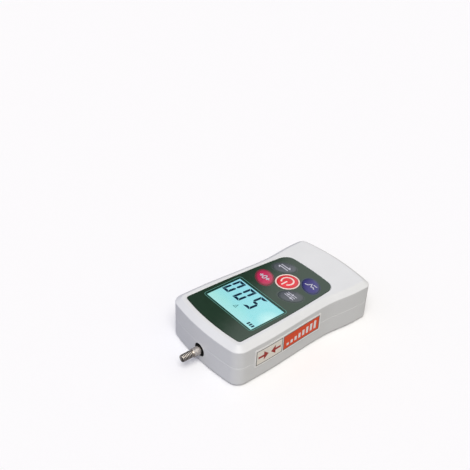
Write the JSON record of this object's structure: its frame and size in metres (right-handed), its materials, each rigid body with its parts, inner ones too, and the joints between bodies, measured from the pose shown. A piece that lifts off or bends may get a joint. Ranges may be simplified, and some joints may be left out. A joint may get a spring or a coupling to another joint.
{
  "type": "digital force gauge",
  "caption": "Hand-held push and pull force gauge: waisted two-part housing, backlit display, domed keys and a threaded measuring shaft on an inner load cell.",
  "frame": {"origin": "centre of the housing's flat base", "axes": "+Z leaves through the display, +Y points to the tail, the measuring shaft points along -Y, +X is the labelled side"},
  "size_m": [0.0818, 0.164, 0.0366],
  "materials": {
    "housing": "fine satin moulded texture, off-white",
    "label": "printed film, blank two-tone",
    "overlay": "satin printed film, dark green",
    "window": "clear polished window",
    "display": "backlit liquid crystal",
    "black_plastic": "moulded black",
    "white_plastic": "moulded white",
    "circuit_board": "solder mask green",
    "cream_trim": "printed cream",
    "power_red": "satin red",
    "slate_key": "satin slate grey",
    "indigo_key": "satin indigo",
    "crimson_key": "satin crimson",
    "lead_insulation": "silicone insulation",
    "shaft_steel": "turned steel",
    "screw_steel": "plated steel",
    "seal_rubber": "soft black rubber",
    "cell_aluminium": "milled aluminium",
    "bracket_steel": "zinc plated sheet steel",
    "insert_brass": "turned brass",
    "battery_wrap": "shrink sleeve",
    "socket_metal": "stamped bright shell"
  },
  "bodies": {
    "housing": {"front_shell": "housing", "rear_shell": "housing", "side_label": "label", "front_overlay": "overlay", "display_window": "window", "lcd_glass": "display", "lcd_frame": "black_plastic", "backlight_panel": "white_plastic", "main_board": "circuit_board", "power_ring": "cream_trim", "power_switch": "black_plastic", "unit_switch": "black_plastic", "peak_switch": "black_plastic", "zero_switch": "black_plastic", "set_switch": "black_plastic", "controller_chip": "black_plastic", "cell_connector": "white_plastic", "cell_lead": "lead_insulation", "battery_lead": "power_red", "dust_ring": "seal_rubber", "load_cell": "cell_aluminium", "gauge_cover_top": "cell_aluminium", "gauge_cover_bottom": "cell_aluminium", "cell_bracket": "bracket_steel", "cell_bolt": "screw_steel", "stand_insert_1": "insert_brass", "stand_insert_2": "insert_brass", "stand_insert_3": "insert_brass", "stand_insert_4": "insert_brass", "case_screw_1": "screw_steel", "case_screw_2": "screw_steel", "case_screw_3": "screw_steel", "case_screw_4": "screw_steel", "board_screw_1": "screw_steel", "board_screw_2": "screw_steel", "board_screw_3": "screw_steel", "board_screw_4": "screw_steel", "battery_cell_1": "battery_wrap", "battery_cell_2": "battery_wrap", "battery_cell_3": "battery_wrap", "battery_cell_4": "battery_wrap", "battery_clamp": "black_plastic", "clamp_screw_1": "screw_steel", "clamp_screw_2": "screw_steel", "charge_socket": "black_plastic", "data_socket": "socket_metal"},
    "shaft": {"measuring_shaft": "shaft_steel", "shaft_lock_nut": "screw_steel"},
    "power_key": {"power_key": "power_red"},
    "unit_key": {"unit_key": "slate_key"},
    "peak_key": {"peak_key": "indigo_key"},
    "zero_key": {"zero_key": "crimson_key"},
    "set_key": {"set_key": "slate_key"}
  },
  "joints": [
    {"name": "shaft_push_pull", "type": "slide", "parent": "housing", "child": "shaft", "axis": [0, 1, 0], "range_m": [-0.0003, 0.0003], "stiffness_N_per_m": 20000, "deforming": ["load_cell"]},
    {"name": "power_press", "type": "slide", "parent": "housing", "child": "power_key", "axis": [0, 0, -1], "range_m": [0, 0.0004], "stiffness_N_per_m": 1200},
    {"name": "unit_press", "type": "slide", "parent": "housing", "child": "unit_key", "axis": [0, 0, -1], "range_m": [0, 0.0004], "stiffness_N_per_m": 1200},
    {"name": "peak_press", "type": "slide", "parent": "housing", "child": "peak_key", "axis": [0, 0, -1], "range_m": [0, 0.0004], "stiffness_N_per_m": 1200},
    {"name": "zero_press", "type": "slide", "parent": "housing", "child": "zero_key", "axis": [0, 0, -1], "range_m": [0, 0.0004], "stiffness_N_per_m": 1200},
    {"name": "set_press", "type": "slide", "parent": "housing", "child": "set_key", "axis": [0, 0, -1], "range_m": [0, 0.0004], "stiffness_N_per_m": 1200}
  ]
}
